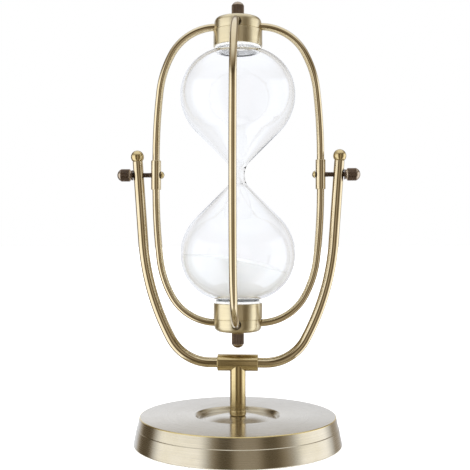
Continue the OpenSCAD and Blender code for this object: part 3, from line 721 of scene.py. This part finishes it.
def rod_path():
    """A cage rod's whole centreline, from its lower end to its upper one, at y = 0 on the +X side."""
    a, b = math.radians(ROD_SIDE_TURN), math.radians(ROD_SIDE_TURN + ROD_SHOULDER_TURN)
    straight, corner_x = PIVOT_SLEEVE_LEN / 2 + 1, CAP_R - 2
    rise = ROD_ENTRY - straight - ROD_SIDE_R * math.sin(a)
    reach = CAGE_HALF_SPAN - corner_x - ROD_SIDE_R * (1 - math.cos(a))
    rise_share, reach_share = math.sin(b) - math.sin(a), math.cos(a) - math.cos(b)
    det = rise_share * math.cos(b) - (1 - math.sin(b)) * reach_share
    shoulder_r = (rise * math.cos(b) - (1 - math.sin(b)) * reach) / det
    corner_r = (rise_share * reach - reach_share * rise) / det
    upper = walk((CAGE_HALF_SPAN, PIVOT_Z, math.pi / 2), [
        (straight, 0), (ROD_SIDE_R, ROD_SIDE_TURN), (shoulder_r, ROD_SHOULDER_TURN),
        (corner_r, 90 - ROD_SIDE_TURN - ROD_SHOULDER_TURN), (corner_x - HUB_R + 5, 0)])
    lower = [(x, 2 * PIVOT_Z - z, math.pi - h) for x, z, h in upper[:0:-1]]
    return lower + upper


for word, turn in ROD_TURNS.items():
    rod = place(sweep("rod_bent_" + word, rod_path(), CAGE_ROD_R),
                Matrix.Rotation(math.radians(turn), 4, "Z"))
    if word != "front":
        side = 1 if word == "right" else -1
        cut(rod, [bar(SCREW_R + FIT, CAGE_HALF_SPAN - 8, CAGE_HALF_SPAN + 8,
                      at(0, 0, PIVOT_Z) @ along_x(side))])
    stand_in(rod, "rod_" + word, brass)


# ---------------------------------------------------------------- caps, cushions, cap nuts

def cap_profile():
    """Section of the turned cup, from the rim's inside over the crown to the stud's hole and back."""
    crown_out = CAP_R - CROWN_STEP
    skirt_in = CAP_R - CAP_WALL
    return rounded([
        (skirt_in, RIM, 0.25), (CAP_R, RIM, 0.35), (CAP_R, GROOVE - GROOVE_W / 2, 0.2),
        (CAP_R - GROOVE_DEPTH, GROOVE - GROOVE_W / 2, 0.1),
        (CAP_R - GROOVE_DEPTH, GROOVE + GROOVE_W / 2, 0.1), (crown_out, GROOVE + GROOVE_W / 2, 0.1),
        (crown_out, CROWN, CROWN_R), (STUD_R + 0.1, CROWN, 0.1), (STUD_R + 0.1, CROWN - CAP_WALL),
        (HUB_R + FIT, CROWN - CAP_WALL), (HUB_R + FIT, HUB_LOW), (skirt_in, HUB_LOW)],
        closed=True, steps=10)


def cushion_profile():
    out = CAP_R - CAP_WALL - 2 * FIT
    return rounded([
        (0, GLASS_END + FIT), (COLLAR_R + FIT, GLASS_END + FIT), (COLLAR_R + FIT, CUSHION_LOW, 0.3),
        (out, CUSHION_LOW, 0.8), (out, HUB_LOW - FIT, 0.2), (0, HUB_LOW - FIT)], steps=8)


for word, frame_matrix in (("top", UPPER), ("bottom", LOWER)):
    cap = place(lathe("cap_turned_" + word, cap_profile(), 192, closed=True), frame_matrix)
    entry_z = PIVOT_Z + (ROD_ENTRY if word == "top" else -ROD_ENTRY)
    cut(cap, [bar(CAP_HOLE_R, HUB_R - 1, CAP_R + 4,
                  at(0, 0, entry_z) @ Matrix.Rotation(math.radians(turn), 4, "Z") @ along_x(1))
              for turn in ROD_TURNS.values()])
    stand_in(cap, "cap_" + word, brass_turned)

    cushion = place(lathe("cushion_moulded_" + word, cushion_profile(), 128), frame_matrix)
    stand_in(cushion, "cushion_" + word, rubber_white)

    nut = place(knurled_nut("cap_nut_knurled_" + word, CAP_NUT_KNURL_H),
                frame_matrix @ at(0, 0, CROWN + CAP_NUT_GAP))
    stand_in(nut, "cap_nut_" + word, bronze, bronze_knurled)


# ---------------------------------------------------------------- glass and sand

def glass_outline(wall, throat, end):
    """(r, z) points of the upper bulb from the pivot axis to its end, wall mm inside the outer surface."""
    bulb_z = round(COLLAR - math.sqrt(SHOULDER_R ** 2 - (COLLAR_R - BULB_R + SHOULDER_R) ** 2), 2)
    neck_x = NECK_R + NECK_FILLET
    reach = BULB_R - neck_x
    flank_r = round((reach ** 2 + bulb_z ** 2 - NECK_FILLET ** 2 - FLANK_RUN ** 2)
                    / (2 * (reach + NECK_FILLET)), 2)
    flank_c = Vector((BULB_R - flank_r, bulb_z))
    centres = Vector((neck_x, 0)) - flank_c
    direction = (math.atan2(centres.y, centres.x)
                 + math.acos((flank_r + NECK_FILLET) / centres.length))
    normal = Vector((math.cos(direction), math.sin(direction)))
    fillet = NECK_FILLET
    if wall:
        fillet = (normal.x * (throat - neck_x) + NECK_FILLET + wall) / (1 - normal.x)
    neck_c = Vector((throat + fillet, 0))
    points = []
    for k in range(25):
        angle = math.pi + (math.atan2(-normal.y, -normal.x) - math.pi) * k / 24
        points.append(neck_c + fillet * Vector((math.cos(angle), math.sin(angle))))
    for k in range(41):
        angle = direction * (1 - k / 40)
        points.append(flank_c + (flank_r - wall) * Vector((math.cos(angle), math.sin(angle))))
    shoulder_c = Vector((BULB_R - SHOULDER_R, bulb_z))
    collar = COLLAR_R - wall
    top = math.acos((collar - shoulder_c.x) / (SHOULDER_R - wall))
    for k in range(1, 41):
        angle = top * k / 40
        points.append(shoulder_c + (SHOULDER_R - wall) * Vector((math.cos(angle), math.sin(angle))))
    points.append(Vector((collar, end)))
    return points, bulb_z


outer, BULB_Z = glass_outline(0, NECK_R, GLASS_END)
inner, _ = glass_outline(GLASS_WALL, THROAT_R, GLASS_END)


def both_halves(points):
    """The same outline on both sides of the pivot axis, from the lower end to the upper one."""
    return [Vector((p.x, -p.y)) for p in points[:0:-1]] + points


glass = lathe("glass_blown", both_halves(outer) + both_halves(inner)[::-1], 160, closed=True, sharp_deg=60)
stand_in(place(glass, UPPER), "glass", glass_clear)

# The sand: a heap in the lower bulb, high on the left, that falls away to the right
sand_wall, _ = glass_outline(GLASS_WALL + SAND_GAP, THROAT_R, GLASS_END - STOPPER_H - SAND_GAP)
sand_wall = [Vector((p.x, PIVOT_Z - p.y)) for p in sand_wall]
SAND_FLOOR = sand_wall[-1].y
SAND_HIGH = PIVOT_Z - BULB_Z + SAND_RISE
SAND_REACH = BULB_R - GLASS_WALL
SAND_ARC_R = 1.8 * SAND_REACH / math.sin(math.radians(SAND_SLOPE))


def wall_radius(z):
    """Radius of the sand's side at a height."""
    for a, b in zip(sand_wall, sand_wall[1:]):
        if b.y <= z <= a.y:
            return a.x + (b.x - a.x) * (a.y - z) / max(a.y - b.y, 1e-9)
    return sand_wall[-1].x


def sand_height(x, y):
    """Height of the heap's top, with the low ripples of a surface that has run and settled."""
    across = x + 0.9 * SAND_REACH
    smooth = SAND_HIGH - SAND_ARC_R + math.sqrt(SAND_ARC_R ** 2 - across ** 2)
    ripple = (noise.noise(Vector((x / RIPPLE_LONG, y / RIPPLE_LONG, 0.3)))
              + 0.4 * noise.noise(Vector((x / RIPPLE_SHORT, y / RIPPLE_SHORT, 4.1))))
    return smooth - SAND_SETTLED + RIPPLE_H * ripple


def sand_edge(angle):
    """Radius at which the heap's top meets the glass, in a direction."""
    low, high = 5.0, BULB_R
    for _ in range(40):
        r = (low + high) / 2
        z = sand_height(r * math.cos(angle), r * math.sin(angle))
        low, high = (r, high) if r < wall_radius(z) else (low, r)
    return low


def sand_rings(segments=160, top_rings=60, side_rings=48):
    angles = [2 * math.pi * k / segments for k in range(segments)]
    edges = [sand_edge(a) for a in angles]
    rings = [[(0, 0, sand_height(0, 0))]]
    for i in range(1, top_rings + 1):
        ring = []
        for a, edge in zip(angles, edges):
            x, y = edge * i / top_rings * math.cos(a), edge * i / top_rings * math.sin(a)
            ring.append((x, y, sand_height(x, y)))
        rings.append(ring)
    for i in range(1, side_rings + 1):
        ring = []
        for a, edge in zip(angles, edges):
            start = sand_height(edge * math.cos(a), edge * math.sin(a))
            z = start + (SAND_FLOOR - start) * i / side_rings
            r = wall_radius(z)
            ring.append((r * math.cos(a), r * math.sin(a), z))
        rings.append(ring)
    rings.append([(0, 0, SAND_FLOOR)])
    return rings


rings = sand_rings()
heap = skin("sand_heap", rings, [float(i) for i in range(len(rings))], sharp_deg=25)
stand_in(heap, "sand", sand_white)


# ---------------------------------------------------------------- carried-over CAD nodes

for node, material in {
        "base_weight": iron, "base_pad": felt_green, "base_bolt": steel, "base_washer": steel,
        "hub_top": steel, "hub_bottom": steel, "stud_top": bronze_plain, "stud_bottom": bronze_plain,
        "stopper_top": silicone_white, "stopper_bottom": silicone_white}.items():
    refinish(node, material)


# ---------------------------------------------------------------- stage, light and camera

def make_floor():
    bm = bmesh.new()
    bmesh.ops.create_grid(bm, x_segments=8, y_segments=8, size=20.0)
    mesh = bpy.data.meshes.new("floor")
    bm.to_mesh(mesh)
    bm.free()
    floor = bpy.data.objects.new("floor", mesh)
    bpy.context.scene.collection.objects.link(floor)
    n = Nodes("floor_paper")
    tone = n.mix(n.spread(n.noise(n.object_place(), 30.0), 0.0, 1.0), (0.9, 0.9, 0.9, 1),
                 (0.93, 0.93, 0.93, 1))
    n.shader(Base_Color=tone, Roughness=0.95)
    n.bsdf.inputs["Specular IOR Level"].default_value = 0.0
    n.bsdf.inputs["Emission Color"].default_value = (1, 1, 1, 1)
    n.bsdf.inputs["Emission Strength"].default_value = 0.2
    mesh.materials.append(n.material)
    # Mirrored and refracted rays miss the floor, so that metal and glass show the studio in its place
    floor.visible_glossy = floor.visible_transmission = False


make_floor()

CAMERA_AZIMUTH = math.radians(3.4)
CAMERA_DISTANCE, CAMERA_HEIGHT = 567.8, 136.3
SENSOR, LENS = 36.0, 63.9574


def make_camera():
    data = bpy.data.cameras.new("camera")
    data.sensor_width = SENSOR
    data.lens = LENS
    data.shift_x, data.shift_y = -0.006, 0.015
    data.clip_start, data.clip_end = 0.01, 100
    camera = bpy.data.objects.new("camera", data)
    camera.location = Vector((CAMERA_DISTANCE * math.sin(CAMERA_AZIMUTH),
                              -CAMERA_DISTANCE * math.cos(CAMERA_AZIMUTH), CAMERA_HEIGHT)) * MM
    camera.rotation_euler = (math.radians(90), 0, CAMERA_AZIMUTH)
    bpy.context.scene.collection.objects.link(camera)
    bpy.context.scene.camera = camera


make_camera()

# A studio of soft panels: (angle to the right of the camera in degrees, brightness) around the object
PANELS = [(-180, 1.05), (-148, 0.85), (-132, 0.12), (-110, 0.1), (-94, 1.75), (-42, 1.75), (-28, 0.4),
          (-19, 0.1), (-8, 0.1), (0, 0.45), (20, 0.45), (30, 0.12), (44, 0.14), (62, 0.6), (75, 1.75),
          (112, 1.75), (132, 0.35), (150, 0.5), (180, 1.05)]
CEILING = [(0.0, 0.0), (0.5, 0.0), (0.65, 0.3), (0.8, 1.0), (1.0, 1.0)]
CEILING_LIGHT = 1.2
SHADED_WALL = [(0.0, 1.0), (0.35, 1.0), (0.45, 0.2), (1.0, 0.2)]
# Dim parts of the studio are warm, and lit ones a little cool
WARM, COOL = (1.3, 1.0, 0.6, 1), (0.97, 1.0, 1.08, 1)
COOL_FROM = 0.75
# What the glass shows behind it is mostly white, and what scatters light gets an even, brighter white
BACKDROP_SHARE = 0.8
DIFFUSE_LIGHT = 1.9


def make_studio():
    world = bpy.data.worlds.new("studio")
    bpy.context.scene.world = world
    world.use_nodes = True
    tree = world.node_tree
    tree.nodes.clear()

    def add(kind, inputs=None, **settings):
        node = tree.nodes.new("ShaderNode" + kind)
        for key, value in settings.items():
            setattr(node, key, value)
        for key, value in (inputs or {}).items():
            if isinstance(value, bpy.types.NodeSocket):
                tree.links.new(value, node.inputs[key])
            else:
                node.inputs[key].default_value = value
        return node

    def maths(operation, a, b=0.0):
        return add("Math", {0: a, 1: b}, operation=operation).outputs[0]

    def mix(factor, a, b, blend="MIX"):
        return add("Mix", {0: factor, 6: a, 7: b}, data_type="RGBA", blend_type=blend).outputs[2]

    def ramp(factor, stops):
        node = add("ValToRGB", {"Fac": factor})
        elements = node.color_ramp.elements
        while len(elements) < len(stops):
            elements.new(0.5)
        for element, (position, value) in zip(elements, stops):
            element.position, element.color = position, (value, value, value, 1)
        return node.outputs["Color"]

    direction = add("SeparateXYZ", {0: add("TexCoord").outputs["Generated"]})
    x, y, z = (direction.outputs[k] for k in "XYZ")
    angle = maths("ARCTAN2", x, maths("MULTIPLY", y, -1.0))
    angle = maths("SUBTRACT", angle, CAMERA_AZIMUTH)
    # A share of the turn, from -180 degrees to 180 as in PANELS
    share = maths("FRACT", maths("ADD", maths("DIVIDE", angle, 2 * math.pi), 1.5))
    strongest = max(v for _, v in PANELS)
    walls = ramp(share, [((a + 180) / 360, v / strongest) for a, v in PANELS])
    walls = maths("MULTIPLY", maths("MULTIPLY", walls, strongest), ramp(z, SHADED_WALL))
    light = add("Mix", {0: ramp(z, CEILING), 2: walls, 3: CEILING_LIGHT}, data_type="FLOAT").outputs[0]
    lit = maths("MINIMUM", maths("DIVIDE", light, COOL_FROM), 1.0)
    tint = mix(lit, WARM, COOL)
    colour = mix(1.0, tint, light, "MULTIPLY")
    white = (1, 1, 1, 1)
    seen = add("LightPath")
    through = maths("MULTIPLY", seen.outputs["Is Transmission Ray"], BACKDROP_SHARE)
    colour = mix(through, colour, white)
    diffuse = maths("GREATER_THAN", seen.outputs["Diffuse Depth"], 0.5)
    colour = mix(diffuse, colour, (DIFFUSE_LIGHT, DIFFUSE_LIGHT, DIFFUSE_LIGHT, 1))
    colour = mix(seen.outputs["Is Camera Ray"], colour, white)
    background = add("Background", {"Color": colour, "Strength": 1.0})
    output = add("OutputWorld")
    tree.links.new(background.outputs[0], output.inputs[0])


make_studio()
bpy.context.scene.view_settings.view_transform = "Standard"

bpy.context.view_layer.update()
